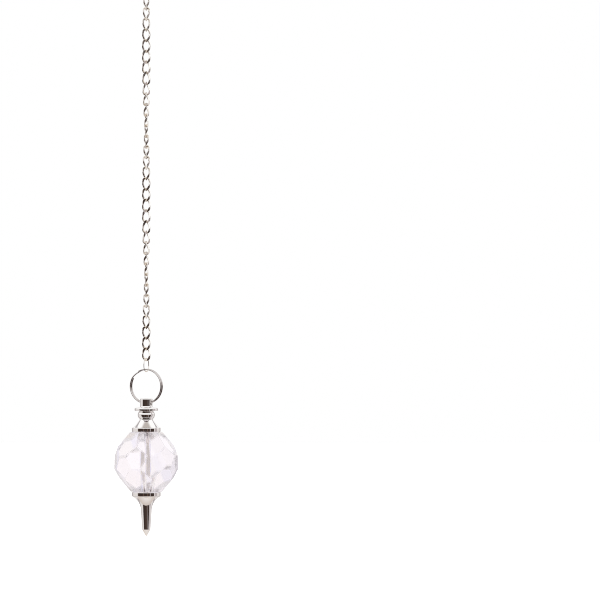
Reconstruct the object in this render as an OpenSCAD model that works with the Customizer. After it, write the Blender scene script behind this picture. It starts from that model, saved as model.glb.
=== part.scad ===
// Pendulum pendant: a faceted glass ball between two turned metal ends, hung from a split ring
// on a fine curb chain. Millimetres, +Z up. The origin is where the top ring bears on its hook,
// and everything hangs straight down from there. The view from -Y is the front.

/* [Chain] */
// Number of curb links from the top ring down to the small connector link
link_count = 35; // [10:1:36]
// Distance from one link's centre to the next
link_pitch = 3.32; // [2.9:0.02:3.8]
// Outer width of a curb link, before it is twisted
link_width = 3.1; // [2.8:0.05:3.6]
// Thickness of the wire of a curb link
link_wire = 0.55; // [0.4:0.01:0.6]
// Turn of the whole chain about its length from one link to the next, in degrees
link_turn = 12.9; // [0:0.1:20]
// Turn of the top link's flat side away from the front, in degrees
first_link_turn = -73; // [-90:1:-50]
// Squareness of a link's outline, 1 is an ellipse and less is fuller
link_fullness = 0.85; // [0.75:0.01:1]
// Play between two links where they bear on each other
link_play = 0.1; // [0.05:0.01:0.15]

/* [Top ring] */
// Outer diameter of the ring that the chain hangs from
hang_ring_d = 10; // [9:0.1:14]
// Thickness of its wire
hang_ring_wire = 1; // [0.8:0.05:1.2]

/* [Connector link] */
// Outer height of the small link between the chain and the split ring
connector_height = 4.5; // [3.5:0.05:4.6]
// Outer width of it
connector_width = 3.0; // [2.9:0.05:3.6]
// Thickness of its wire
connector_wire = 0.5; // [0.4:0.01:0.6]

/* [Split ring] */
// Outer diameter of each coil
ring_d = 11; // [9:0.1:13]
// Thickness of the wire
ring_wire = 0.45; // [0.35:0.01:0.5]
// Distance between the middles of the two coils, front to back
ring_coil_step = 0.4; // [0.3:0.01:0.4]
// How far the two coils stand out of line with each other, sideways
ring_coil_shift = 0.26; // [0:0.01:0.3]
// Place of the wire's cut end on the front coil, in degrees up from the ring's left side
ring_end_angle = 62; // [40:1:80]
// Gap at a cut end of the wire, in degrees
ring_end_gap = 3; // [2:0.5:6]
// Turn of the ring about the pendant's height, in degrees
ring_turn = -24; // [-30:1:0]

/* [Cap] */
// Diameter of the lug that the split ring passes through
lug_d = 3.5; // [3.2:0.1:4.5]
// Height of the lug above the collar
lug_h = 2.9; // [2.3:0.1:3.5]
// Radius of the lug's rounded top edge
lug_edge = 0.3; // [0.1:0.05:0.4]
// Radius of the hollow at the lug's foot
lug_foot_r = 0.5; // [0.2:0.05:0.6]
// Depth of the cross hole's middle below the lug's top
eye_depth = 1.5; // [1.1:0.05:1.6]
// Play of the split ring in the cross hole
eye_play = 0.12; // [0.1:0.01:0.2]
// Diameter of the collar under the lug
collar_d = 7.4; // [6:0.1:9]
// Thickness of the collar
collar_h = 1; // [0.8:0.05:1.6]
// Radius of the collar's rounded edges
collar_edge = 0.3; // [0.1:0.05:0.35]
// Largest diameter of the bead under the collar
bead_d = 5.4; // [5:0.1:6.5]
// Diameter of the bead at its two ends
bead_end_d = 4.4; // [4.3:0.1:4.9]
// Height of the bead
bead_h = 2.5; // [2:0.05:3]
// Diameter of the narrow neck under the bead
neck_d = 4.2; // [4:0.1:4.3]
// Height of the neck
neck_h = 0.3; // [0.2:0.05:0.6]
// Diameter of the bell where it meets the rim
bell_d = 8; // [7.5:0.1:9]
// Height of the bell
bell_h = 2.4; // [2:0.05:4]
// How far the bell's side is hollowed between its ends
bell_hollow = 0.05; // [0.05:0.01:0.3]

/* [Rims] */
// Diameter of the two rims that hold the ball
rim_d = 9.05; // [8.9:0.05:10]
// Height of the cap's rim
cap_rim_h = 1.4; // [1.2:0.05:2.5]
// Height of the spike's rim
spike_rim_h = 1.4; // [1.2:0.05:2.5]
// Radius of the rims' rounded edges
rim_edge = 0.25; // [0.1:0.05:0.4]

/* [Ball] */
// Height of the glass ball between its two flats
ball_h = 18.64; // [17:0.02:20]
// Distance of the sloping facets from the middle of the ball
slope_dist = 9.2; // [9.1:0.05:9.8]
// Angle that these facets face up or down, in degrees
slope_angle = 37; // [34:0.5:42]
// Distance of the upright facets round the middle from the middle of the ball
girdle_dist = 9.55; // [9.4:0.05:10]
// Angle that these facets face up or down, in degrees
girdle_angle = 8; // [4:0.5:14]
// Facets in each of the four rows
row_facets = 6; // [6:1:8]
// Turn of the ball about its height, in degrees
ball_turn = 12; // [0:1:30]
// Diameter of the hole drilled through the ball
bore_d = 2; // [1.9:0.05:3]
// Gap between the ball and each rim
seat_gap = 0.05; // [0.03:0.01:0.1]

/* [Core pin] */
// Diameter of the pin inside the ball
pin_d = 1.8; // [1.4:0.05:1.85]
// Depth of the pin in the cap
pin_in_cap = 4.5; // [3:0.1:6]
// Depth of the pin in the spike
pin_in_spike = 2; // [1.5:0.1:2.2]
// Play of the pin in the two sockets, on the radius
pin_play = 0.05; // [0.03:0.01:0.1]

/* [Spike] */
// Full height of the spike with its rim
spike_h = 13.8; // [11:0.1:18]
// Diameter of the flare just below the rim
flare_d = 8.7; // [7:0.1:8.8]
// Height of the flare
flare_h = 4.6; // [2.5:0.1:5]
// Diameter of the shank where the flare ends
shank_top_d = 3.3; // [2.9:0.05:4]
// Diameter of the shank at the shoulder of the point
shank_end_d = 2.5; // [1.8:0.05:2.8]
// Height of the point
point_h = 2.05; // [1.2:0.05:3]
// Diameter of the point's blunt end
point_end_d = 0.12; // [0.1:0.01:0.3]

/* [Hidden] */
link_name = [for (i = [1 : link_count]) str("link_", i < 10 ? "0" : "", i)];

// A full turn in degrees, the overlap that keeps joined bodies one solid, and the side of a cube
// that reaches past the whole ball from any of its facets
full_turn = 360;
join = 0.05;
facet_cube = 4 * ball_h;

// Heights along the pendant, from the hook down
hang_ring_r = (hang_ring_d - hang_ring_wire) / 2;
hang_ring_z = hang_ring_wire / 2 - hang_ring_r;
link_reach = (link_pitch + link_wire + link_play) / 2;
link_half = (link_width - link_wire) / 2;
first_link_z = hang_ring_z - hang_ring_r
             + (hang_ring_wire + link_wire) / 2 + link_play - link_reach;
last_link_z = first_link_z - (link_count - 1) * link_pitch;
connector_reach = (connector_height - connector_wire) / 2;
connector_half = (connector_width - connector_wire) / 2;
connector_z = last_link_z - link_reach
            + (link_wire + connector_wire) / 2 + link_play - connector_reach;
ring_r = (ring_d - ring_wire) / 2;
ring_top_z = connector_z - connector_reach
           + (connector_wire + ring_wire) / 2 + link_play;
ring_z = ring_top_z - ring_r;
eye_z = ring_z - ring_r;
lug_top_z = eye_z + eye_depth;
collar_z = lug_top_z - lug_h;
bead_z = collar_z - collar_h;
neck_z = bead_z - bead_h;
bell_z = neck_z - neck_h;
cap_rim_z = bell_z - bell_h;
cap_end_z = cap_rim_z - cap_rim_h;
ball_top_z = cap_end_z - seat_gap;
ball_z = ball_top_z - ball_h / 2;
spike_z = ball_top_z - ball_h - seat_gap;
flare_z = spike_z - spike_rim_h;
shoulder_z = spike_z - spike_h + point_h;

// Half the twist of one link, which sets neighbours square to each other where they cross
link_twist = (90 - link_turn) / 2;
last_link_turn = first_link_turn + (link_count - 1) * link_turn;
connector_turn = last_link_turn - link_twist + 90;

// Radius round the middle of the two coils that holds both wires
coil_pair_r = (ring_coil_step + ring_wire) / 2;
eye_flare_r = ring_r - coil_pair_r - eye_play;

// Wire links are swept: this many rings along the wire, each with this many corners, and the
// wire's direction at a ring is taken between two points this many degrees to either side of it
link_rings = 16;
wire_sides = 6;
aim_step = 2;
round_fn = 96;

// A signed power, which makes an ellipse fuller at its corners
function full(v, p) = sign(v) * pow(abs(v), p);

// A point on the middle line of a link at angle t; twist is the turn at its upper end
function loop_point(t, half, reach, twist) =
    let (x = half * full(cos(t), link_fullness), s = full(sin(t), link_fullness))
    [x * cos(twist * s), x * sin(twist * s), reach * s];

function unit(v) = v / norm(v);

// The corners of one ring of the wire, square to its path
function loop_ring(t, half, reach, twist, r) =
    let (s = full(sin(t), link_fullness),
         p = loop_point(t, half, reach, twist),
         along = unit(loop_point(t + aim_step, half, reach, twist)
                      - loop_point(t - aim_step, half, reach, twist)),
         flat = [-sin(twist * s), cos(twist * s), 0],
         side = unit(flat - (flat * along) * along),
         out = cross(side, along))
    [for (k = [0 : wire_sides - 1])
        let (a = (k + 0.5) * full_turn / wire_sides) p + r * (cos(a) * out + sin(a) * side)];

// A closed wire loop, twisted about its height
module wire_loop(half, reach, twist, wire) {
    points = [for (i = [0 : link_rings - 1])
                 each loop_ring(i * full_turn / link_rings, half, reach, twist, wire / 2)];
    faces = [for (i = [0 : link_rings - 1], k = [0 : wire_sides - 1])
                 let (j = (i + 1) % link_rings, n = (k + 1) % wire_sides,
                      a = i * wire_sides + k, b = j * wire_sides + k,
                      c = j * wire_sides + n, d = i * wire_sides + n)
                 each [[a, b, c], [a, c, d]]];
    polyhedron(points, faces);
}

// A round wire ring standing in the XZ plane, from angle start over an arc of the given span
module wire_ring(r, wire, start = 0, span = full_turn) {
    rotate([90, 0, 0])
        rotate([0, 0, start])
            rotate_extrude(angle = span, $fn = round_fn)
                translate([r, 0])
                    circle(d = wire);
}

module hang_ring() {
    color("silver")
        translate([0, 0, hang_ring_z])
            wire_ring(hang_ring_r, hang_ring_wire);
}

module chain_link(i) {
    color("lightgray")
        translate([0, 0, first_link_z - (i - 1) * link_pitch])
            rotate([0, 0, first_link_turn + (i - 1) * link_turn])
                wire_loop(link_half, link_reach, link_twist, link_wire);
}

module connector_link() {
    color("lightgray")
        translate([0, 0, connector_z])
            rotate([0, 0, connector_turn])
                wire_loop(connector_half, connector_reach, 0, connector_wire);
}

// Two coils of one wire, pressed together and slightly out of line, each with a cut end
module split_ring() {
    color("gray")
        translate([0, 0, ring_z])
            rotate([0, 0, ring_turn])
                for (side = [-1, 1])
                    translate([side * ring_coil_shift / 2, side * ring_coil_step / 2, 0])
                        wire_ring(ring_r, ring_wire,
                                  full_turn / 2 + side * ring_end_angle + ring_end_gap / 2,
                                  full_turn - ring_end_gap);
}

// The cross hole lies along the split ring and widens to both sides as the ring bows through it
module eye() {
    half = lug_d / 2 + lug_foot_r;
    translate([0, 0, eye_z])
        rotate([0, 90, ring_turn])
            rotate_extrude($fn = round_fn)
                difference() {
                    translate([0, -half]) square([ring_r - join, 2 * half]);
                    translate([ring_r, 0]) circle(r = eye_flare_r, $fn = round_fn);
                }
}

// A stub with a rounded top edge and a hollow round its foot
module lug() {
    rotate_extrude($fn = round_fn) {
        translate([0, -lug_h - join]) square([lug_d / 2, lug_h + join - lug_edge]);
        translate([0, -lug_h]) square([lug_d / 2 - lug_edge, lug_h]);
        translate([lug_d / 2 - lug_edge, -lug_edge]) circle(r = lug_edge, $fn = round_fn);
    }
    rotate_extrude($fn = round_fn)
        difference() {
            translate([0, -lug_h - join]) square([lug_d / 2 + lug_foot_r, lug_foot_r + join]);
            translate([lug_d / 2 + lug_foot_r, -lug_h + lug_foot_r])
                circle(r = lug_foot_r, $fn = round_fn);
        }
}

// A disc with rounded edges, from z = 0 down over height h
module band(d, h, edge) {
    rotate_extrude($fn = round_fn) {
        translate([0, -h + edge]) square([d / 2, h - 2 * edge]);
        translate([0, -h]) square([d / 2 - edge, h]);
        for (z = [-edge, -h + edge])
            translate([d / 2 - edge, z]) circle(r = edge, $fn = round_fn);
    }
}

// A barrel, rounded from end to end
module bead() {
    rise = (bead_d - bead_end_d) / 2;
    arc_r = (bead_h * bead_h / 4 + rise * rise) / (2 * rise);
    rotate_extrude($fn = round_fn)
        intersection() {
            translate([0, -bead_h]) square([bead_d, bead_h]);
            translate([bead_d / 2 - arc_r, -bead_h / 2]) circle(r = arc_r, $fn = round_fn);
        }
}

// The bell's side is hollowed by an arc between the neck and the rim
module bell() {
    top_r = neck_d / 2;
    end_r = bell_d / 2;
    chord = norm([end_r - top_r, bell_h]);
    arc_r = (chord * chord / 4 + bell_hollow * bell_hollow) / (2 * bell_hollow);
    middle = [top_r + end_r, -bell_h] / 2
           + unit([bell_h, end_r - top_r]) * (arc_r - bell_hollow);
    rotate_extrude($fn = round_fn)
        difference() {
            polygon([[0, 0], [top_r, 0], [end_r, -bell_h], [end_r, -bell_h - join], [0, -bell_h - join]]);
            translate(middle) circle(r = arc_r, $fn = round_fn);
        }
}

// A blind socket for the core pin, its mouth at z = 0 and its floor up or down at the given depth
module pin_socket(depth) {
    mirror([0, 0, depth < 0 ? 1 : 0])
        translate([0, 0, -join])
            cylinder(r = pin_d / 2 + pin_play, h = abs(depth) + pin_play + join, $fn = round_fn);
}

module cap() {
    color("whitesmoke")
        difference() {
            union() {
                translate([0, 0, lug_top_z]) lug();
                translate([0, 0, collar_z]) band(collar_d, collar_h, collar_edge);
                translate([0, 0, bead_z]) bead();
                translate([0, 0, bell_z - join])
                    cylinder(d = neck_d, h = collar_z - bell_z, $fn = round_fn);
                translate([0, 0, bell_z]) bell();
                translate([0, 0, cap_rim_z]) band(rim_d, cap_rim_h, rim_edge);
            }
            eye();
            translate([0, 0, cap_end_z]) pin_socket(pin_in_cap);
        }
}

// All that lies on the inner side of a flat facet at a distance and a tilt from the middle
module facet_side(turn, tilt, distance) {
    rotate([0, 0, turn])
        rotate([tilt, 0, 0])
            translate([-facet_cube / 2, -distance, -facet_cube / 2])
                cube([facet_cube, facet_cube, facet_cube]);
}

// Four rows of facets, each row turned by half a facet against the next
module facet_rows() {
    step = full_turn / row_facets;
    intersection_for (k = [0 : row_facets - 1]) {
        intersection() {
            facet_side(ball_turn + k * step, -slope_angle, slope_dist);
            facet_side(ball_turn + (k + 0.5) * step, -girdle_angle, girdle_dist);
            facet_side(ball_turn + k * step, girdle_angle, girdle_dist);
            facet_side(ball_turn + (k + 0.5) * step, slope_angle, slope_dist);
        }
    }
}

module ball() {
    color("thistle")
        translate([0, 0, ball_z])
            difference() {
                intersection() {
                    translate([-facet_cube / 2, -facet_cube / 2, -ball_h / 2])
                        cube([facet_cube, facet_cube, ball_h]);
                    facet_rows();
                }
                cylinder(d = bore_d, h = ball_h + 2 * join, center = true, $fn = round_fn);
            }
}

module core_pin() {
    color("tan")
        translate([0, 0, spike_z - pin_in_spike])
            cylinder(d = pin_d, h = pin_in_spike + ball_h + 2 * seat_gap + pin_in_cap, $fn = round_fn);
}

// Flare, shank and point; the flare is hollowed by an arc that runs straight into the shank
module shank() {
    rise = (flare_d - shank_top_d) / 2;
    arc_r = (rise * rise + flare_h * flare_h) / (2 * rise);
    rotate_extrude($fn = round_fn)
        difference() {
            polygon([[0, join], [flare_d / 2, join], [flare_d / 2, -flare_h],
                     [shank_top_d / 2, -flare_h], [shank_end_d / 2, shoulder_z - flare_z],
                     [point_end_d / 2, shoulder_z - point_h - flare_z],
                     [0, shoulder_z - point_h - flare_z]]);
            translate([shank_top_d / 2 + arc_r, -flare_h]) circle(r = arc_r, $fn = round_fn);
        }
}

module spike() {
    color("whitesmoke")
        difference() {
            union() {
                translate([0, 0, spike_z]) band(rim_d, spike_rim_h, rim_edge);
                translate([0, 0, flare_z]) shank();
            }
            translate([0, 0, spike_z]) pin_socket(-pin_in_spike);
        }
}

hang_ring();
for (i = [1 : link_count]) chain_link(i);
connector_link();
split_ring();
cap();
ball();
core_pin();
spike();
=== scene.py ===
# %% [markdown]
# # A pendulum pendant in cut glass and plated metal
#
# The real thing is a faceted glass ball held between a turned metal cap and a turned metal spike.
# A split ring joins it to a fine curb chain. This notebook takes the construction model, where
# every size and place is settled, and gives each piece its fine surface and its finish.

# %% Load the construction model
import bmesh
import bpy
import math
import numpy as np
from mathutils import Matrix, Vector


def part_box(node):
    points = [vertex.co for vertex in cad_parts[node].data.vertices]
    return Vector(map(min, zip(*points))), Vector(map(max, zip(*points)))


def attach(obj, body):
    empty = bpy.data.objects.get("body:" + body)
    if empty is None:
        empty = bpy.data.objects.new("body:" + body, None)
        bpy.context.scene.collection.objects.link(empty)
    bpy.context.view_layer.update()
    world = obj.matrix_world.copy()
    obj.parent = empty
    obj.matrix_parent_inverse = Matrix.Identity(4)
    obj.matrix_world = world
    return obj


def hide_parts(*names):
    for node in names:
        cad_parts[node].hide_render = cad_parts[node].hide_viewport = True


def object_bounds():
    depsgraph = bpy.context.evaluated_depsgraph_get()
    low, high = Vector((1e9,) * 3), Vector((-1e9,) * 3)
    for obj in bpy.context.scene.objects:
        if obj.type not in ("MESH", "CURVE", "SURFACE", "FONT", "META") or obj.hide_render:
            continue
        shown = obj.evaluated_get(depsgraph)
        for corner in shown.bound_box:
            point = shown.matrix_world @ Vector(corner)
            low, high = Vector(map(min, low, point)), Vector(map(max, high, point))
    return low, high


MM = 0.001
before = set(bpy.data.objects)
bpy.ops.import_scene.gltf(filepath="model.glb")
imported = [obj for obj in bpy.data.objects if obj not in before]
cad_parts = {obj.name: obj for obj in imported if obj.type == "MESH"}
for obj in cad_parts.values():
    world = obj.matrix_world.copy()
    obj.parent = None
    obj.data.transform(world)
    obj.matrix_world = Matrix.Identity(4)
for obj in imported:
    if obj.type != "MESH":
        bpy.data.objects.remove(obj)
cad_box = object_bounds()
scene = bpy.context.scene
print("pieces in the construction model:", len(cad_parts))
print("height in mm:", round((cad_box[1].z - cad_box[0].z) / MM, 2))

# %% [markdown]
# ## Camera
#
# The photo is square and looks level at the pendant. Nothing in it shows perspective, so a long
# lens from two metres away is the honest choice: a close camera would show the tops of the flat
# rims. The scale is worked out from the ball, which such pendants have about 20 mm wide. The
# camera stands where that scale puts the split ring's top on its own pixel of the photo, with no
# lens shift.

# %% Camera
photo_side_px = 600
px_per_mm = 3.2
chain_line_px = 146.3
ring_top_px = 368.7
camera_distance = 2.0
sensor_width = 36.0

photo_side = photo_side_px / px_per_mm * MM
photo_middle_px = photo_side_px / 2
ring_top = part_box("split_ring")[1].z
camera_x = (photo_middle_px - chain_line_px) / px_per_mm * MM
camera_z = ring_top + (ring_top_px - photo_middle_px) / px_per_mm * MM

lens = bpy.data.cameras.new("camera")
lens.sensor_width = sensor_width
lens.lens = sensor_width * camera_distance / photo_side
camera = bpy.data.objects.new("camera", lens)
camera.location = (camera_x, -camera_distance, camera_z)
camera.rotation_euler = (math.radians(90), 0, 0)
scene.collection.objects.link(camera)
scene.camera = camera
print("lens in mm:", round(lens.lens), "- camera at", [round(v, 4) for v in camera.location])

# %% [markdown]
# ## Small helpers for node trees
#
# Shaders here are built in code, so a few helpers keep them short. The first adds a node, sets
# its properties and fills its sockets, with a value or with a link. The others do plain
# arithmetic, mix two colours and make a soft step.

# %% Node helpers
def add(tree, kind, sockets=None, **settings):
    """Adds a node; a socket is given a value, or the output socket that feeds it."""
    node = tree.nodes.new("ShaderNode" + kind)
    for name, value in settings.items():
        setattr(node, name, value)
    for name, value in (sockets or {}).items():
        if isinstance(value, bpy.types.NodeSocket):
            tree.links.new(value, node.inputs[name])
        else:
            node.inputs[name].default_value = value
    return node


def calc(tree, operation, first, second=0.0, third=0.0):
    """One Math node; returns its output."""
    return add(tree, "Math", {0: first, 1: second, 2: third}, operation=operation).outputs[0]


def mix_colour(tree, share, first, second):
    """Goes from the first colour to the second as share goes from 0 to 1. Sockets 6 and 7 of a
    Mix node are its two colours."""
    node = add(tree, "Mix", {0: share, 6: first, 7: second}, data_type="RGBA")
    return node.outputs[2]


def fade(tree, value, start, end, low=0.0, high=1.0):
    """A smooth step from low to high as value goes from start to end."""
    sockets = {"Value": value, "From Min": start, "From Max": end, "To Min": low, "To Max": high}
    return add(tree, "MapRange", sockets, interpolation_type="SMOOTHSTEP").outputs[0]

# %% [markdown]
# ## Studio: a light tent
#
# Mirror-bright metal shows the room more than itself. The photo's metal has a sharp dark band
# down its middle and pure white sides, which is what a light tent gives: white cloth all round,
# and an opening for the lens with the dim room behind it. Softboxes alone would leave the metal
# grey. So the world is painted as such a tent, from the direction that a ray leaves in. Azimuth 0
# is towards the lens, and grows to the right.
#
# The photo's own reflections say where the opening ends. A band that covers half of an upright
# cylinder's width ends where the surface has turned by 30 degrees, and a mirror doubles that.
# Parts that face a little down are dark too and parts that face up are white, so the opening
# reaches far down and only a little up. Above it the cloth is brightest, with a dimmer ceiling
# over that. The room has a few brown bars in it, which show as upright stripes in the flat rims.

# %% Colours and openings of the tent
tent_white = (1.0, 1.0, 1.0, 1)
tent_side = (0.72, 0.69, 0.68, 1)
tent_strength = 1.12
room_dark = (0.026, 0.018, 0.016, 1)
room_brown = (0.17, 0.115, 0.09, 1)
ceiling_beige = (0.50, 0.46, 0.43, 1)
seam_grey = (0.30, 0.27, 0.28, 1)
side_rose = (0.44, 0.39, 0.40, 1)

# Spans of azimuth or elevation: start, end and the width of the soft border, all in degrees
opening_span, opening_height = (-70, 67, 4), (-70, 4, 5)
brown_bars = ((-64, -56, 6), (10, 17, 5), (-22, -15, 5))
rose_bar = (31, 36, 3)
rose_span, rose_height = (74, 96, 6), (-70, 30, 12)
left_seam_span, right_seam_span, seam_share = (-150, -128, 8), (134, 150, 6), 0.8
side_ends_at, ceiling_starts_at = (6, 22), (62, 76)
print("width of the tent's opening, degrees:", opening_span[1] - opening_span[0])

# %% [markdown]
# A world shader colours every ray that leaves the scene, and the ray's direction is all that it
# needs. Two angles are worked out from that, and each part of the tent is a window in one or both.

# %% Directions in the tent
def window(tree, angle, start, end, soft):
    """1 where an angle lies between start and end, 0 outside, with soft borders, in degrees."""
    middle, half_width = (start + end) / 2, (end - start) / 2
    off = calc(tree, "ABSOLUTE", calc(tree, "SUBTRACT", angle, math.radians(middle)))
    inner, outer = half_width - soft / 2, half_width + soft / 2
    return fade(tree, off, math.radians(inner), math.radians(outer), 1.0, 0.0)


world = bpy.data.worlds.new("light_tent")
scene.world = world
world.use_nodes = True
tent = world.node_tree
tent.nodes.clear()
ray = add(tent, "TexCoord").outputs["Generated"]
ray_x, ray_y, ray_z = add(tent, "SeparateXYZ", {0: ray}).outputs
azimuth = calc(tent, "ARCTAN2", ray_x, calc(tent, "MULTIPLY", ray_y, -1.0))
elevation = calc(tent, "ARCSINE", ray_z)
print("nodes for the ray's angles:", len(tent.nodes))

# %% [markdown]
# The room behind the opening is nearly black. A noise that is drawn out upwards gives it vague
# brown shapes, and the bars are where those shapes are strong.

# %% The dim room
clutter_across, clutter_up = 4.0, 0.4
clutter_at = add(tent, "CombineXYZ", {"X": calc(tent, "MULTIPLY", azimuth, clutter_across),
                                      "Y": calc(tent, "MULTIPLY", elevation, clutter_up)})
clutter = add(tent, "TexNoise", {"Vector": clutter_at.outputs[0], "Scale": 1.6, "Detail": 3.0})
bars = window(tent, azimuth, *brown_bars[0])
for span in brown_bars[1:]:
    bars = calc(tent, "ADD", bars, window(tent, azimuth, *span))
clutter_share = calc(tent, "MULTIPLY", fade(tent, clutter.outputs[0], 0.40, 0.66),
                     fade(tent, bars, 0.0, 1.0, 0.35, 1.0))
room = mix_colour(tent, clutter_share, room_dark, room_brown)
room = mix_colour(tent, window(tent, azimuth, *rose_bar), room, side_rose)
print("brown bars in the room:", len(brown_bars))

# %% [markdown]
# The cloth is laid over all directions first. The dimmer ceiling, the greyer side walls, a rose
# panel and the two seams go on it in turn, and the opening is cut last.

# %% Cloth and opening
opening = calc(tent, "MULTIPLY", window(tent, azimuth, *opening_span),
               window(tent, elevation, *opening_height))
left_seam = window(tent, azimuth, *left_seam_span)
right_seam = window(tent, azimuth, *right_seam_span)
seams = calc(tent, "MULTIPLY", calc(tent, "ADD", left_seam, right_seam), seam_share)
rose = calc(tent, "MULTIPLY", window(tent, azimuth, *rose_span),
            window(tent, elevation, *rose_height))
side = fade(tent, elevation, *np.radians(side_ends_at), 1.0, 0.0)
ceiling = fade(tent, elevation, *np.radians(ceiling_starts_at))

cloth = mix_colour(tent, ceiling, tent_white, ceiling_beige)
cloth = mix_colour(tent, side, cloth, tent_side)
cloth = mix_colour(tent, rose, cloth, side_rose)
cloth = mix_colour(tent, seams, cloth, seam_grey)
surroundings = mix_colour(tent, opening, cloth, room)
print("nodes in the tent:", len(tent.nodes))

# %% [markdown]
# Two more things share the world. The lens sees plain white behind the pendant. And a ray that
# has been through the glass sees a softer room, because a real ball also bends light from between
# the tent's seams, and its many small facets mix it: the photo's ball is nearly white, lilac
# above and a little warmer below, with pastel patches and nowhere the hard black that the metal
# shows. A ball turns what lies behind it upside down, so the room's warm part is its upper one.

# %% The room seen through glass
glass_lilac = (0.87, 0.835, 0.885, 1)
glass_white = (0.955, 0.925, 0.935, 1)
glass_warm = (0.925, 0.885, 0.875, 1)
glass_dark = (0.73, 0.71, 0.71, 1)
glass_blue = (0.66, 0.66, 0.81, 1)
glass_beige = (0.82, 0.785, 0.71, 1)
sparkle_shift = (3.0, 5.0, 7.0)
warm_starts_at, lilac_ends_at = (-4, 20), (-50, -15)

path = add(tent, "LightPath").outputs
through_glass = calc(tent, "MINIMUM", path["Transmission Depth"], 1.0)
sparkle_at = add(tent, "VectorMath", {0: ray, 1: sparkle_shift}, operation="ADD")
sparkle = add(tent, "TexNoise", {"Vector": sparkle_at.outputs[0], "Scale": 3.4, "Detail": 1.0})
aside = fade(tent, ray_y, 0.4, 0.85, 1.0, 0.25)
blue_share = calc(tent, "MULTIPLY", fade(tent, sparkle.outputs[0], 0.50, 0.57), aside)
beige_share = calc(tent, "MULTIPLY", fade(tent, sparkle.outputs[0], 0.38, 0.46, 1.0, 0.0), aside)
above = fade(tent, elevation, *np.radians(warm_starts_at))
below = fade(tent, elevation, *np.radians(lilac_ends_at), 1.0, 0.0)
soft_room = mix_colour(tent, above, glass_white, glass_warm)
soft_room = mix_colour(tent, below, soft_room, glass_lilac)
soft_room = mix_colour(tent, blue_share, soft_room, glass_blue)
soft_room = mix_colour(tent, beige_share, soft_room, glass_beige)
soft_room = mix_colour(tent, opening, soft_room, glass_dark)
print("made the room that the glass shows")

# %% [markdown]
# Clear glass needs many bounces, because a ray can cross the ball several times before it leaves.
# The Standard view transform keeps the white cloth pure white, and a filter one pixel wide keeps
# the fine chain crisp.

# %% Backdrop and render settings
surroundings = mix_colour(tent, through_glass, surroundings, soft_room)
tent_light = add(tent, "Background", {"Color": surroundings, "Strength": tent_strength})
backdrop = add(tent, "Background", {"Color": tent_white, "Strength": 1.0})
both = add(tent, "MixShader", {0: path["Is Camera Ray"], 1: tent_light.outputs[0],
                               2: backdrop.outputs[0]})
add(tent, "OutputWorld", {"Surface": both.outputs[0]})

scene.view_settings.view_transform = "Standard"
scene.cycles.use_denoising = True
scene.cycles.max_bounces = 24
scene.cycles.transmission_bounces = 20
scene.cycles.glossy_bounces = 12
scene.cycles.filter_width = 1.0
print("nodes in the world:", len(tent.nodes))

# %% [markdown]
# The floor is a plain pale disc below the hanging point of the spike. It is out of the photo's
# frame, but a view from above shows it. It glows a little, so it stays as clean and white as the
# cloth behind it. Mirrors and glass don't see it: what they see below is a small card close under
# the tip. Its beige reflection lights the flare and the point, and as it is small, the shank
# above the point still mirrors the dark room.

# %% Floor and card
floor_drop = 38 * MM
floor_radius = 3.0
floor_glow, card_glow = 0.37, 0.1
floor_white = (0.86, 0.86, 0.86, 1)
card_middle, card_rim = (0.87, 0.83, 0.80, 1), (0.66, 0.59, 0.54, 1)
card_drop = 4 * MM
card_radius = 17 * MM
disc_sides = 128


def pale_disc(name, radius, height, middle, rim, glow):
    """A flat round stage piece, matt and faintly glowing, that shades from middle to rim."""
    mesh = bpy.data.meshes.new(name)
    shape = bmesh.new()
    bmesh.ops.create_circle(shape, cap_ends=True, radius=radius, segments=disc_sides)
    shape.to_mesh(mesh)
    shape.free()
    disc = bpy.data.objects.new(name, mesh)
    disc.location.z = height
    scene.collection.objects.link(disc)
    finish = bpy.data.materials.new(name)
    finish.use_nodes = True
    tree = finish.node_tree
    shader = tree.nodes["Principled BSDF"]
    out = add(tree, "VectorMath", {0: add(tree, "TexCoord").outputs["Object"]}, operation="LENGTH")
    colour = mix_colour(tree, fade(tree, out.outputs["Value"], 0.0, radius), middle, rim)
    tree.links.new(colour, shader.inputs["Base Color"])
    shader.inputs["Roughness"].default_value = 0.9
    tree.links.new(colour, shader.inputs["Emission Color"])
    shader.inputs["Emission Strength"].default_value = glow
    disc.data.materials.append(finish)
    return disc


floor = pale_disc("floor", floor_radius, cad_box[0].z - floor_drop, floor_white, floor_white,
                  floor_glow)
floor.visible_glossy = floor.visible_transmission = False
card = pale_disc("card", card_radius, cad_box[0].z - card_drop, card_middle, card_rim, card_glow)
card.visible_camera = card.visible_shadow = False
print("floor at", round(floor.location.z, 4), "m")

# %% [markdown]
# ## Shared effects
#
# Three things can happen to a metal surface here: it is handled, so it has faint smudges and hair
# scratches; it is rubbed, so its edges lose a little plate; and a tool has been over it, so it
# keeps fine lines. Each effect is a node group with its own inputs, built once and placed in the
# finishes that show it. The groups only give masks and heights, and each material decides what
# they change.

# %% Effect group: handled surface
def new_group(name, inputs, outputs):
    """An empty shader group of plain values, whose inputs are name to default value. Returns the
    group, the sockets that its inputs give and those that make its outputs."""
    group = bpy.data.node_groups.new(name, "ShaderNodeTree")
    for label, value in inputs.items():
        socket = group.interface.new_socket(label, in_out="INPUT", socket_type="NodeSocketFloat")
        socket.default_value = value
    for label in outputs:
        group.interface.new_socket(label, in_out="OUTPUT", socket_type="NodeSocketFloat")
    given = group.nodes.new("NodeGroupInput").outputs
    return group, given, group.nodes.new("NodeGroupOutput").inputs


def surface_mm(tree):
    """The place on the piece in millimetres, which rides along when the piece swings."""
    place = add(tree, "TexCoord").outputs["Object"]
    return add(tree, "VectorMath", {0: place, "Scale": 1 / MM}, operation="SCALE").outputs[0]


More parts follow.
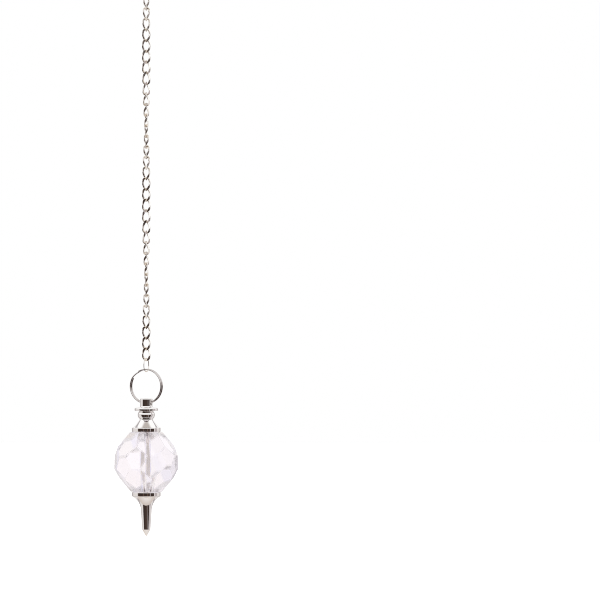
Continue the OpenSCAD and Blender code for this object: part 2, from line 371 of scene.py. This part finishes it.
handled, given, made = new_group("handled_surface", {"Smudge Size": 3.0, "Scratch Size": 0.25},
                                 ["Smudges", "Scratches"])
place = surface_mm(handled)
smudge_scale = calc(handled, "DIVIDE", 1.0, given["Smudge Size"])
smudge = add(handled, "TexNoise", {"Vector": place, "Scale": smudge_scale, "Detail": 4.0,
                                   "Distortion": 0.6})
handled.links.new(fade(handled, smudge.outputs[0], 0.48, 0.68), made["Smudges"])
scratch_scale = calc(handled, "DIVIDE", 1.0, given["Scratch Size"])
scratch = add(handled, "TexVoronoi", {"Vector": place, "Scale": scratch_scale},
              feature="DISTANCE_TO_EDGE")
handled.links.new(fade(handled, scratch.outputs["Distance"], 0.0, 0.035, 1.0, 0.0),
                  made["Scratches"])
print("made the group", handled.name)

# %% Effect group: rubbed edges
rubbed, given, made = new_group("rubbed_edges", {"Start": 0.52, "End": 0.60, "Patch Size": 0.6},
                                ["Rubbed"])
sharpness = add(rubbed, "NewGeometry").outputs["Pointiness"]
patch_scale = calc(rubbed, "DIVIDE", 1.0, given["Patch Size"])
patches = add(rubbed, "TexNoise", {"Vector": surface_mm(rubbed), "Scale": patch_scale})
edge_mask = fade(rubbed, sharpness, given["Start"], given["End"])
patch_mask = fade(rubbed, patches.outputs[0], 0.42, 0.62)
rubbed.links.new(calc(rubbed, "MULTIPLY", edge_mask, patch_mask), made["Rubbed"])
print("made the group", rubbed.name)

# %% [markdown]
# A lathe leaves fine lines round a turned piece. Bent wire has faint marks across it too, which the
# bending tools leave. Both are noise that is stretched one way on the piece's own UV map. That map
# is in millimetres: U goes round the piece, and V along its wire or profile.

# %% Effect group: tool lines
lines, given, made = new_group("tool_lines", {"Along": 0.5, "Across": 12.0}, ["Lines"])
flat_place = add(lines, "UVMap").outputs[0]
flat_u, flat_v, _ = add(lines, "SeparateXYZ", {0: flat_place}).outputs
stretched = add(lines, "CombineXYZ", {"X": calc(lines, "MULTIPLY", flat_u, given["Along"]),
                                      "Y": calc(lines, "MULTIPLY", flat_v, given["Across"])})
streaks = add(lines, "TexNoise", {"Vector": stretched.outputs[0], "Scale": 1.0, "Detail": 3.0})
lines.links.new(streaks.outputs[0], made["Lines"])
print("made the group", lines.name)

# %% [markdown]
# ## Finishes
#
# A finish is one material. The shader itself stays in the material, with its plain numbers typed
# on its own sockets, and the groups above feed what changes over the surface.

# %% Material helper
def new_finish(name, **values):
    """A material with a Principled shader, whose plain values are set by socket name."""
    finish = bpy.data.materials.new(name)
    finish.use_nodes = True
    shader = finish.node_tree.nodes["Principled BSDF"]
    for label, value in values.items():
        shader.inputs[label.replace("_", " ")].default_value = value
    return finish, finish.node_tree, shader


def place_group(tree, group, **values):
    """Puts a group in a tree and sets its inputs; returns its outputs."""
    node = tree.nodes.new("ShaderNodeGroup")
    node.node_tree = group
    for label, value in values.items():
        node.inputs[label.replace("_", " ")].default_value = value
    return node.outputs


def raise_bump(tree, shader, height, depth, strength=1.0):
    """Feeds a height, in metres of depth, to the shader's normal."""
    bump = add(tree, "Bump", {"Height": height, "Distance": depth, "Strength": strength})
    tree.links.new(bump.outputs[0], shader.inputs["Normal"])

# %% [markdown]
# The cap and the spike are turned brass under a thick, mirror-polished white plate. A metal's
# colour is its reflection colour, so the plate is a light, slightly warm grey. Where an edge is
# rubbed, the plate thins and yellows. The roughness is very low, and the smudges raise it in soft
# patches.

# %% Finish: polished plate
plate_colour = (0.90, 0.885, 0.875, 1)
rubbed_colour = (0.78, 0.70, 0.58, 1)

plate, tree, shader = new_finish("polished_plate", Metallic=1.0)
touch = place_group(tree, handled, Smudge_Size=2.2, Scratch_Size=0.5)
edge = place_group(tree, rubbed, Start=0.53, End=0.62, Patch_Size=0.5)
turned = place_group(tree, lines, Along=0.02, Across=9.0)
yellowed = calc(tree, "MULTIPLY", edge["Rubbed"], 0.5)
tree.links.new(mix_colour(tree, yellowed, plate_colour, rubbed_colour),
               shader.inputs["Base Color"])
plate_rough = calc(tree, "MULTIPLY_ADD", touch["Smudges"], 0.07, 0.035)
tree.links.new(plate_rough, shader.inputs["Roughness"])
plate_height = calc(tree, "ADD", turned["Lines"], calc(tree, "MULTIPLY", touch["Scratches"], -0.4))
raise_bump(tree, shader, plate_height, 0.0006 * MM)
print("made", plate.name)

# %% [markdown]
# Chain and rings are drawn wire with a thin bright plate. The wire mirrors the dark opening and
# the white cloth in turn. A little tarnish dulls it in patches, and where links rub on each other
# the plate is worn to a warmer colour. Each link's mesh marks that place in an attribute of its
# own.

# %% Finish: chain wire and ring wire
worn_colour = (0.70, 0.58, 0.44, 1)


def wire_finish(name, colour, tarnish, rough):
    """Plated wire; tarnish is the colour of its dull patches."""
    finish, tree, shader = new_finish(name, Metallic=1.0)
    touch = place_group(tree, handled, Smudge_Size=1.1, Scratch_Size=0.3)
    drawn = place_group(tree, lines, Along=0.35, Across=10.0)
    rubbed_off = add(tree, "Attribute", attribute_name="Worn").outputs["Fac"]
    dull = calc(tree, "MULTIPLY", touch["Smudges"], 0.4)
    plated = mix_colour(tree, dull, colour, tarnish)
    worn_share = calc(tree, "MULTIPLY", rubbed_off, 0.5)
    tree.links.new(mix_colour(tree, worn_share, plated, worn_colour), shader.inputs["Base Color"])
    wire_rough = calc(tree, "MULTIPLY_ADD", touch["Smudges"], 0.08, rough)
    tree.links.new(wire_rough, shader.inputs["Roughness"])
    raise_bump(tree, shader, drawn["Lines"], 0.001 * MM)
    return finish


chain_metal = wire_finish("chain_wire", (0.93, 0.91, 0.88, 1), (0.60, 0.55, 0.45, 1), 0.04)
ring_metal = wire_finish("ring_wire", (0.66, 0.63, 0.62, 1), (0.44, 0.37, 0.33, 1), 0.10)
print("made", chain_metal.name, "and", ring_metal.name)

# %% [markdown]
# The ball is clear cut glass with a faint lilac cast. Glass gets its look from what it bends, so
# the shader is a plain transmitting one. The cast is in its base colour. A soft haze in its
# roughness blurs the far facets, which the photo shows as pale patches with hardly an edge.

# %% Finish: cut glass
glass, tree, shader = new_finish("cut_glass", Base_Color=(0.965, 0.942, 0.972, 1), IOR=1.52,
                                 Transmission_Weight=1.0)
touch = place_group(tree, handled, Smudge_Size=4.0, Scratch_Size=1.4)
tree.links.new(fade(tree, touch["Smudges"], 0.0, 1.0, 0.09, 0.14), shader.inputs["Roughness"])
raise_bump(tree, shader, touch["Scratches"], 0.0003 * MM, 0.4)
print("made", glass.name)

# %% [markdown]
# The pin through the ball is plain drawn rod, duller than the rest. It only shows through the
# glass, as a warm grey bar that the facets break up.

# %% Finish: pin
pin_metal, tree, shader = new_finish("pin_metal", Metallic=1.0)
drawn = place_group(tree, lines, Along=0.2, Across=6.0)
tree.links.new(mix_colour(tree, drawn["Lines"], (0.84, 0.81, 0.74, 1), (0.96, 0.94, 0.88, 1)),
               shader.inputs["Base Color"])
tree.links.new(fade(tree, drawn["Lines"], 0.3, 0.7, 0.34, 0.48), shader.inputs["Roughness"])
raise_bump(tree, shader, drawn["Lines"], 0.004 * MM)
print("made", pin_metal.name)

# %% [markdown]
# ## Meshes from rows of points
#
# Every piece ends the same way, so one function does it: the piece gets its material and is
# put on the moving body that it rides on, and the solids of the construction model that it
# stands for are hidden.

# %% Finish a piece
def finish_piece(obj, material, body, slot, *nodes):
    """Gives a new piece its material, puts it on the body that it rides on, and hides the solids it
    stands for.
    """
    obj.data.materials.append(material)
    if obj.name not in scene.collection.objects:
        scene.collection.objects.link(obj)
    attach(obj, body)
    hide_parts(*nodes)
    return obj

# %% [markdown]
# Turned pieces and bent wires are the same kind of mesh: rows of points, each row closed on
# itself, joined one to the next. One function skins such rows, closes both ends with a fan if the
# piece has ends, and writes the UV map in millimetres. Curve objects with a bevel would do for
# the wires, but they leave no control of the twist and no clean UVs for the tool lines.

# %% Skin rows of points
crease_angle = math.radians(38)


def skin(name, rows, tips=None):
    """A mesh over closed rows of points, in metres. With tips it has ends, else it is a loop."""
    rows = np.asarray(rows, float)
    count, sides, _ = rows.shape
    points = [tuple(p) for p in rows.reshape(-1, 3)]
    middle = rows.mean(axis=1)
    steps = np.linalg.norm(rows - np.roll(rows, 1, axis=0), axis=2).mean(axis=1)
    steps[0] = 0 if tips else steps[0]
    run = np.cumsum(steps) / MM
    girth = np.linalg.norm(rows[:, 0] - middle, axis=1).max() * 2 * math.pi / MM
    faces, uvs = [], []
    for i in range(count - 1 if tips else count):
        j = (i + 1) % count
        end = run[j] if j else run[i] + steps[0] / MM
        for k in range(sides):
            n = (k + 1) % sides
            faces.append((i * sides + k, i * sides + n, j * sides + n, j * sides + k))
            u0, u1 = k / sides * girth, (k + 1) / sides * girth
            uvs += [(u0, run[i]), (u1, run[i]), (u1, end), (u0, end)]
    for tip, row, flip in ((0, 0, True), (1, count - 1, False)) if tips else ():
        points.append(tuple(tips[tip]))
        centre = len(points) - 1
        for k in range(sides):
            ring = [row * sides + k, row * sides + (k + 1) % sides]
            faces.append((ring[1], ring[0], centre) if flip else (ring[0], ring[1], centre))
            uvs += [(0, run[row])] * 3
    mesh = bpy.data.meshes.new(name)
    mesh.from_pydata(points, [], faces)
    layer = mesh.uv_layers.new(name="UVMap")
    layer.data.foreach_set("uv", np.asarray(uvs, np.float32).ravel())
    mesh.shade_smooth()
    mesh.set_sharp_from_angle(angle=crease_angle)
    return bpy.data.objects.new(name, mesh)

# %% [markdown]
# ## Bent wires
#
# A wire is its middle line and a thickness. The rows of the mesh stand square to the line, and
# each row takes its direction from the one before, so the skin doesn't spin. On a closed loop the
# small turn that is left at the end is shared out over all the rows.

# %% Sweep a wire
dome_degrees = (60, 30)
nearly_upright = 0.9


def unit(vectors):
    """Vectors of the same direction, each of length 1."""
    return vectors / np.linalg.norm(vectors, axis=-1, keepdims=True)


def sweep(name, path, radius, sides, closed=True, faces=None, flat=1.0):
    """A wire along a path of points; an open one gets domed ends. It is round, unless faces gives
    the way that its flat side looks at each point, and flat how thick it is that way."""
    path = np.asarray(path, float)
    if closed:
        along = unit(np.roll(path, -1, axis=0) - np.roll(path, 1, axis=0))
    else:
        along = unit(np.gradient(path, axis=0))
    spin = np.zeros(len(path))
    if faces is None:
        leans = abs(along[0][2]) < nearly_upright
        first = np.cross(along[0], (0, 0, 1) if leans else (0, 1, 0))
        across = [unit(first)]
        for t in along[1:]:
            across.append(unit(across[-1] - across[-1] @ t * t))
        across = np.array(across)
        if closed:
            last = unit(across[-1] - across[-1] @ along[0] * along[0])
            turned_by = math.atan2(last @ np.cross(along[0], across[0]), last @ across[0])
            spin = -turned_by * np.arange(len(path)) / len(path)
    else:
        across = unit(np.cross(faces, along))
    up = np.cross(along, across)
    around = np.arange(sides) / sides * 2 * math.pi + spin[:, None]
    circle = np.cos(around)[..., None] * across[:, None]
    circle = circle + flat * np.sin(around)[..., None] * up[:, None]
    thick = np.broadcast_to(radius, len(path))
    rows = path[:, None] + thick[:, None, None] * circle
    if closed:
        return skin(name, rows)
    dome = np.radians(dome_degrees)
    first, last = thick[0], thick[-1]
    start = [path[0] - along[0] * first * math.sin(a) + first * math.cos(a) * circle[0]
             for a in dome]
    end = [path[-1] + along[-1] * last * math.sin(a) + last * math.cos(a) * circle[-1]
           for a in dome[::-1]]
    tips = [path[0] - along[0] * first, path[-1] + along[-1] * last]
    return skin(name, np.concatenate([start, rows, end]), tips)

# %% [markdown]
# The top ring is a plain closed ring of stouter wire. A torus would do, but a swept circle gets
# the same kind of UV map as the rest of the chain.

# %% Top ring
wire_sides = 24
hang_points = 96
hang_sides = 20


def ring_path(radius, middle, count):
    """Points of an upright circle that faces the front."""
    turn = np.arange(count) / count * 2 * math.pi
    return np.stack([radius * np.sin(turn), np.zeros(count), middle + radius * np.cos(turn)],
                    axis=1)


low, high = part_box("hang_ring")
hang_wire = high.y - low.y
hang_radius = (high.z - low.z - hang_wire) / 2
hang_path = ring_path(hang_radius, (high.z + low.z) / 2, hang_points)
hang_ring = sweep("top_ring", hang_path, hang_wire / 2, hang_sides)
finish_piece(hang_ring, chain_metal, "chain", "chain_wire", "hang_ring")
print("top ring, outer mm:", round((high.z - low.z) / MM, 2))

# %% [markdown]
# Each curb link is an oval of wire, twisted so that it lies flat against its neighbours. The
# middle line is an ellipse with slightly full corners, whose plane turns steadily from its lower
# end to its upper end.

# %% Middle line of a link
link_points = 72
link_fullness = 0.85


def full(values):
    """A signed power, which fills out the corners of an ellipse."""
    return np.sign(values) * np.abs(values) ** link_fullness


def link_path(middle, reach, half_width, turn, twist, top_twist):
    """The middle line of a link that is twisted about its height, and the way its flat side
    looks at each point of it."""
    t = np.arange(link_points) / link_points * 2 * math.pi
    side, rise = half_width * full(np.cos(t)), full(np.sin(t))
    angle = turn + np.where(rise > 0, top_twist, twist) * rise
    path = np.stack([side * np.cos(angle), side * np.sin(angle), middle + reach * rise], axis=1)
    return path, np.stack([-np.sin(angle), np.cos(angle), np.zeros(link_points)], axis=1)


print("points in the middle line of a link:", link_points)

# %% [markdown]
# Such chain is rolled and then filed flat on its sides, like the faces of a long prism. A round
# wire would mirror the dark room only as a thin line. A filed face mirrors it as one broad dark
# stroke, and that is how the photo's links look. So the long sides of a link are wider than its
# ends, and every point that stands out past a face is pressed back to it. The ends, where the
# neighbours rub, are marked in an attribute of the mesh, which the finish reads.

# %% Filed faces and worn ends
filed_crease = math.radians(24)
filed_faces = (
    # (lean from the link's own turn in degrees, distance from the middle in mm)
    (0, 0.52),
    (90, 1.32),
    (-45, 1.14),
    (45, 1.14),
)
worn_from, worn_span = 0.72, 0.2


def file_flat(obj, turn, faces):
    """Files a link like the faces of a prism: what stands past a face is pressed back to it."""
    points = np.empty(len(obj.data.vertices) * 3)
    obj.data.vertices.foreach_get("co", points)
    points = points.reshape(-1, 3)
    for lean, depth in faces:
        looks = turn + math.radians(lean)
        out = np.array((math.sin(looks), -math.cos(looks)))
        reach = points[:, :2] @ out
        points[:, :2] -= (reach - np.clip(reach, -depth * MM, depth * MM))[:, None] * out
    obj.data.vertices.foreach_set("co", points.ravel())
    obj.data.update()
    obj.data.set_sharp_from_angle(angle=filed_crease)


def wear_ends(obj, path, reach, middle):
    """Marks the two ends of a link, from 0 where it is unworn to 1 where its neighbours rub it."""
    ends = np.abs(path[:, 2] - middle) / reach
    worn = obj.data.attributes.new("Worn", "FLOAT", "POINT")
    share = np.clip((ends - worn_from) / worn_span, 0, 1)
    worn.data.foreach_set("value", np.repeat(share, wire_sides))


print("filed faces on a link:", 2 * len(filed_faces))

# %% [markdown]
# The whole chain also turns a little from link to link, as in the photo, where the links show
# their faces and their edges by turns. The first link hangs from the top ring's thick wire. Its
# upper end stands square to the ring, so the ring's wire passes through it without touching its
# sides.

# %% Curb links
link_width = 3.2 * MM
link_wire, rolled_wire = 0.55 * MM, 0.8 * MM
wire_flat = 0.8
rolled_to, rolled_span = 0.5, 0.45
link_turn = math.radians(12.9)
first_link_turn = math.radians(-73)
link_twist = math.radians(52)
first_top_twist = math.radians(-90) - first_link_turn


def curb_link(name, node, width, wire, rolled, turn, twist, top_twist):
    """One finished link in the place of its solid. Wire is its thickness at the ends, and rolled
    along the sides; top_twist is the twist of its upper half."""
    bottom, top = (corner.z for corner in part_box(node))
    reach, middle = (top - bottom - wire) / 2, (top + bottom) / 2
    path, faces = link_path(middle, reach, (width - rolled) / 2, turn, twist, top_twist)
    ends = np.abs(path[:, 2] - middle) / reach
    spread = rolled + (wire - rolled) * np.clip((ends - rolled_to) / rolled_span, 0, 1)
    link = sweep(name, path, spread / 2, wire_sides, faces=faces, flat=wire_flat)
    wear_ends(link, path, reach, middle)
    if twist:
        file_flat(link, turn, filed_faces)
    return finish_piece(link, chain_metal, "chain", "chain_wire", node)


link_names = sorted(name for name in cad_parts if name.startswith("link_"))
for number, node in enumerate(link_names):
    top_twist = link_twist if number else first_top_twist
    link = curb_link("curb_" + node, node, link_width, link_wire, rolled_wire,
                     first_link_turn + number * link_turn, link_twist, top_twist)
print("curb links:", len(link_names), "- faces in each:", len(link.data.polygons))

# %% [markdown]
# The last link hooks into a small plain one, of thinner wire and without a twist, that carries
# the split ring. The split ring's two coils lie side by side, so they need room to roll over in
# its lower end as the ring swings. That sets how thin its wire is.

# %% Connector link
connector_wire = 0.34 * MM
connector_width = 3.0 * MM
last_link_turn = first_link_turn + (len(link_names) - 1) * link_turn
connector_turn = last_link_turn + (math.radians(90) + link_turn) / 2

connector = curb_link("small_link", "connector_link", connector_width, connector_wire,
                      connector_wire, connector_turn, 0.0, 0.0)
print("connector faces:", len(connector.data.polygons))

# %% [markdown]
# The split ring is one springy wire wound almost twice. It lies in the front layer for one turn,
# steps back behind its own end, and finishes in the back layer. Two plain tori would miss that
# step, which shows in the photo as a nick near eleven o'clock. The step is a smooth one, so that
# the wire isn't kinked where it leaves its layer.

# %% Split ring
ring_wire = 0.45 * MM
layer_depth = 0.2 * MM
layer_shift = 0.13 * MM
wire_end_angle = math.radians(118)
ring_turn = math.radians(-24)
end_gap = math.radians(3)
step_span = math.radians(30)
split_points = 260

low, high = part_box("split_ring")
ring_radius = (high.z - low.z - ring_wire) / 2
ring_middle = (high.z + low.z) / 2
whole_run = 4 * math.pi - step_span - 2 * end_gap
run = np.linspace(0, whole_run, split_points)
angle = wire_end_angle - end_gap / 2 - run
layer_step = np.clip((run - (2 * math.pi - step_span - end_gap)) / step_span, 0, 1)
layer = 2 * (layer_step ** 2 * (3 - 2 * layer_step)) - 1
path = np.stack([ring_radius * np.cos(angle) + layer * layer_shift, layer * layer_depth,
                 ring_middle + ring_radius * np.sin(angle)], axis=1)
path = path @ np.array(Matrix.Rotation(ring_turn, 3, "Z")).T
split_ring = sweep("split_ring_wire", path, ring_wire / 2, wire_sides, closed=False)
finish_piece(split_ring, ring_metal, "ring", "ring_wire", "split_ring")
print("turns of the split ring:", round(whole_run / (2 * math.pi), 2))

# %% [markdown]
# ## Turned pieces
#
# A lathe leaves a profile swept round an axis. The profile is a short list of corners, each with
# its own rounding, and the curved stretches are bows between two of them. Every edge of the real
# plate is a little round, and those small radii carry the bright lines round the rims.

# %% Profile tools
def bow(start, end, bulge, steps):
    """Points of an arc between two points, bulging to the left of the way from start to end."""
    start, end = np.array(start, float), np.array(end, float)
    chord = end - start
    length = np.linalg.norm(chord)
    left = np.array([-chord[1], chord[0]]) / length
    radius = (length ** 2 / 4 + bulge ** 2) / (2 * abs(bulge))
    centre = (start + end) / 2 + left * (bulge - math.copysign(radius, bulge))
    half = math.asin(min(1.0, length / (2 * radius)))
    middle = math.atan2(*(left * math.copysign(1, bulge))[::-1])
    turns = np.linspace(half, -half, steps + 1) * math.copysign(1, bulge) + middle
    return [tuple(centre + radius * np.array([math.cos(a), math.sin(a)])) for a in turns]


def rounded(corners, steps=6, hold=0.02):
    """A profile with rounded corners; each is (radius, height) or (radius, height, rounding).
    A point just outside each rounding holds the straight stretch flat under smooth shading."""
    profile = []
    for i, corner in enumerate(corners):
        here = np.array(corner[:2])
        if len(corner) < 3:
            profile.append(tuple(here))
            continue
        before = np.array(corners[i - 1][:2]) - here
        after = np.array(corners[i + 1][:2]) - here
        before, after = before / np.linalg.norm(before), after / np.linalg.norm(after)
        half = math.acos(np.clip(before @ after, -1, 1)) / 2
        reach = corner[2] / math.tan(half)
        centre = here + unit(before + after) * corner[2] / math.sin(half)
        one, two = here + before * reach - centre, here + after * reach - centre
        sweep_angle = math.atan2(one[0] * two[1] - one[1] * two[0], one @ two)
        profile.append(tuple(centre + one + before * hold))
        for s in range(steps + 1):
            a = sweep_angle * s / steps
            spun = (one[0] * math.cos(a) - one[1] * math.sin(a),
                    one[0] * math.sin(a) + one[1] * math.cos(a))
            profile.append(tuple(centre + spun))
        profile.append(tuple(centre + two + after * hold))
    return profile

# %% [markdown]
# The lathe itself is short: every point of the profile becomes one level row of the mesh, and the
# first and last points, which lie on the axis, close its ends.

# %% Lathe
def lathe(name, profile, sides):
    """Turns a profile in millimetres, which starts and ends on the axis."""
    profile = np.array(profile) * MM
    turn = np.arange(sides) / sides * 2 * math.pi
    rows = [np.stack([r * np.cos(turn), r * np.sin(turn), np.full(sides, z)], axis=1)
            for r, z in profile[1:-1]]
    tips = [(0, 0, profile[0][1]), (0, 0, profile[-1][1])]
    return skin(name, rows, tips)

# %% [markdown]
# The cap is one turned piece: a lug for the split ring, a collar, a rounded bead, a short neck
# and a hollowed bell that ends in the rim over the ball. The profile starts at the lug's top and
# runs down the outside, then in across the flat seat and up the blind socket for the pin.

# %% Cap profile
turned_sides = 144
lug_d, lug_h, lug_edge, lug_foot = 3.9, 2.9, 0.3, 0.5
collar_d, collar_h, collar_top_edge, collar_edge = 7.4, 1.0, 0.45, 0.2
bead_d, bead_end_d, bead_h = 5.4, 4.4, 2.5
neck_d, neck_h = 4.2, 0.3
bell_d, bell_h, bell_hollow = 8.0, 2.4, 0.05
rim_edge = 0.25
socket_r = 0.95
cap_socket = 4.55
land, neck_step, neck_land = 0.05, 0.02, 0.1
crisp, small_edge = 0.04, 0.05
bead_steps, bell_steps = 14, 16

cap_low, cap_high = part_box("cap")
rim_r = (cap_high.x - cap_low.x) / 2 / MM
lug_top = cap_high.z / MM
cap_end = cap_low.z / MM
collar_z = lug_top - lug_h
bead_z = collar_z - collar_h
neck_z = bead_z - bead_h
bell_z = neck_z - neck_h
rim_z = bell_z - bell_h

bead_rise = (bead_d - bead_end_d) / 2
cap_corners = [
    (0, lug_top),
    (lug_d / 2, lug_top, lug_edge),
    (lug_d / 2, collar_z, lug_foot),
    (collar_d / 2, collar_z, collar_top_edge),
    (collar_d / 2, bead_z, collar_edge),
    (bead_end_d / 2 + land, bead_z, crisp),
    *bow((bead_end_d / 2, bead_z - land), (bead_end_d / 2, neck_z + land), bead_rise, bead_steps),
    (neck_d / 2 + neck_step, neck_z, small_edge),
    (neck_d / 2, bell_z + neck_land),
    *bow((neck_d / 2, bell_z), (bell_d / 2, rim_z + land), -bell_hollow, bell_steps),
    (bell_d / 2 + land, rim_z, crisp),
    (rim_r, rim_z, rim_edge),
    (rim_r, cap_end, rim_edge),
    (socket_r, cap_end, small_edge),
    (socket_r, cap_end + cap_socket),
    (0, cap_end + cap_socket),
]
print("cap height in mm:", round(lug_top - cap_end, 2), "- corners:", len(cap_corners))

# %% [markdown]
# The split ring passes through a cross hole in the lug. The ring is curved, so the hole widens to
# both sides like a trumpet. It is cut with a boolean, because a lathe can't make a cross hole:
# the cutter is itself turned, about the hole's axis.

# %% Cap
coil_play = 0.12 * MM
eye_reach = 0.62
eye_steps = 41
eye_sides = 64


def cut(obj, cutter):
    """Cuts one object out of another and removes the cutter."""
    scene.collection.objects.link(obj)
    scene.collection.objects.link(cutter)
    hole = obj.modifiers.new("hole", "BOOLEAN")
    hole.operation, hole.solver, hole.object = "DIFFERENCE", "EXACT", cutter
    bpy.context.view_layer.update()
    whole = obj.evaluated_get(bpy.context.evaluated_depsgraph_get())
    mesh = bpy.data.meshes.new_from_object(whole)
    obj.modifiers.clear()
    obj.data = mesh
    bpy.data.objects.remove(cutter)
    return obj


eye_height = ring_middle - ring_radius
bow_radius = ring_radius - layer_depth - ring_wire / 2 - coil_play
eye_x = np.linspace(-lug_d * eye_reach, lug_d * eye_reach, eye_steps) * MM
eye_r = ring_radius - np.sqrt(bow_radius ** 2 - eye_x ** 2)
eye_profile = [(0, eye_x[0] / MM), *zip(eye_r / MM, eye_x / MM), (0, eye_x[-1] / MM)]
eye_cutter = lathe("eye_cutter", eye_profile, eye_sides)
along_ring = Matrix.Rotation(ring_turn, 4, "Z") @ Matrix.Rotation(math.pi / 2, 4, "Y")
eye_cutter.data.transform(Matrix.Translation((0, 0, eye_height)) @ along_ring)
cap = cut(lathe("turned_cap", rounded(cap_corners), turned_sides), eye_cutter)
cap.data.materials.clear()
finish_piece(cap, plate, "drop", "polished_plate", "cap")
print("cap faces:", len(cap.data.polygons))

# %% [markdown]
# The spike is turned from the same stock: a rim like the cap's, a flare that runs into a slim
# shank, and a short point. It tapers all the way, so its dark streak narrows towards the tip.

# %% Spike
spike_rim_h = 1.4
flare_d, flare_h = 8.7, 4.6
shank_top_d, shank_end_d = 3.3, 2.5
point_h, point_end_d = 2.05, 0.2
point_edge, tip_edge = 0.06, 0.04
flare_steps = 20
spike_socket = 2.05

spike_low, spike_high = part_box("spike")
spike_top, spike_tip = spike_high.z / MM, spike_low.z / MM
flare_z = spike_top - spike_rim_h
flare_rise = (flare_d - shank_top_d) / 2
flare_arc = (flare_rise ** 2 + flare_h ** 2) / (2 * flare_rise)
flare_sweep = math.asin(flare_h / flare_arc)
flare = [(shank_top_d / 2 + flare_arc * (1 - math.cos(a)),
          flare_z - flare_h + flare_arc * math.sin(a))
         for a in np.linspace(flare_sweep, 0, flare_steps)]
spike_corners = [
    (0, spike_top - spike_socket),
    (socket_r, spike_top - spike_socket),
    (socket_r, spike_top, small_edge),
    (rim_r, spike_top, rim_edge),
    (rim_r, flare_z, rim_edge),
    *flare,
    (shank_end_d / 2, spike_tip + point_h, point_edge),
    (point_end_d / 2, spike_tip, tip_edge),
    (0, spike_tip),
]
spike = lathe("turned_spike", rounded(spike_corners)[::-1], turned_sides)
finish_piece(spike, plate, "drop", "polished_plate", "spike")
print("spike faces:", len(spike.data.polygons))

# %% [markdown]
# The pin is a plain rod with chamfered ends, and the blind sockets in cap and spike hide both.

# %% Core pin
pin_chamfer = 0.2
pin_sides = 48

pin_low, pin_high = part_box("core_pin")
pin_r = (pin_high.x - pin_low.x) / 2 / MM
pin_top, pin_bottom = pin_high.z / MM, pin_low.z / MM
pin_profile = [
    (0, pin_top),
    (pin_r - pin_chamfer, pin_top),
    (pin_r, pin_top - pin_chamfer),
    (pin_r, pin_bottom + pin_chamfer),
    (pin_r - pin_chamfer, pin_bottom),
    (0, pin_bottom),
]
pin = lathe("core_rod", pin_profile, pin_sides)
finish_piece(pin, pin_metal, "drop", "pin_metal", "core_pin")
print("pin length in mm:", round(pin_top - pin_bottom, 2))

# %% [markdown]
# ## The cut ball
#
# Glass cutters grind flats on a ball in rows. Here four rows of six run round it, each turned by
# half a facet against the next, between a flat at the top and one at the bottom. The mesh is made
# the same way: a block is cut by one plane for each facet. A polished edge is never a perfect
# knife edge, so each edge gets a narrow rounding, which softens the lines between the facets.

# %% Ball facets
row_facets = 6
ball_turn = 12
facet_rows = [
    # (tilt up, distance from the middle, turn as a share of a facet)
    (37, 9.2, 0.0),
    (8, 9.55, 0.5),
    (-8, 9.55, 0.0),
    (-37, 9.2, 0.5),
]
edge_bevel = 0.16 * MM
bevel_steps = 3


def slice_off(shape, normal, distance):
    """Cuts away all that lies beyond a plane, and closes the cut."""
    everything = [*shape.verts, *shape.edges, *shape.faces]
    result = bmesh.ops.bisect_plane(shape, geom=everything, plane_co=normal * distance,
                                    plane_no=normal, clear_outer=True)
    edges = [e for e in result["geom_cut"] if isinstance(e, bmesh.types.BMEdge)]
    bmesh.ops.contextual_create(shape, geom=edges)


ball_low, ball_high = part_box("ball")
ball_middle = (ball_low.z + ball_high.z) / 2
ball_half = (ball_high.z - ball_low.z) / 2
stone = bmesh.new()
bmesh.ops.create_cube(stone, size=4 * ball_half)
for tilt, distance, share in facet_rows:
    up = math.radians(tilt)
    for k in range(row_facets):
        turn = math.radians(ball_turn + (k + share) * 360 / row_facets)
        normal = Vector((math.sin(turn) * math.cos(up), -math.cos(turn) * math.cos(up),
                         math.sin(up)))
        slice_off(stone, normal, distance * MM)
for side in (1, -1):
    slice_off(stone, Vector((0, 0, side)), ball_half)
print("facets:", len(stone.faces))

# %% [markdown]
# The bore for the pin is drilled last. It stays smooth inside and sharp at its mouth, while the
# facets stay flat: smooth shading across a facet's edge would blur the cut.

# %% Ball
bore_r = 1.0 * MM
bore_sides = 72
drill_reach = 1.2
bore_slack = 1.01
wall_slope = 0.5

bmesh.ops.bevel(stone, geom=list(stone.edges), offset=edge_bevel, segments=bevel_steps,
                affect="EDGES")
bmesh.ops.translate(stone, verts=stone.verts, vec=(0, 0, ball_middle))
ball_mesh = bpy.data.meshes.new("cut_ball")
stone.to_mesh(ball_mesh)
stone.free()
ball = bpy.data.objects.new("cut_ball", ball_mesh)
drill_profile = [(r / MM, (share * drill_reach * ball_half + ball_middle) / MM)
                 for r, share in ((0, -1), (bore_r, -1), (bore_r, 1), (0, 1))]
drill = lathe("drill", drill_profile, bore_sides)
ball = cut(ball, drill)
for face in ball.data.polygons:
    middle = face.center
    in_bore = math.hypot(middle.x, middle.y) < bore_r * bore_slack
    face.use_smooth = in_bore and abs(face.normal.z) < wall_slope
ball.data.materials.clear()
finish_piece(ball, glass, "drop", "clear_glass", "ball")
print("ball faces:", len(ball.data.polygons))
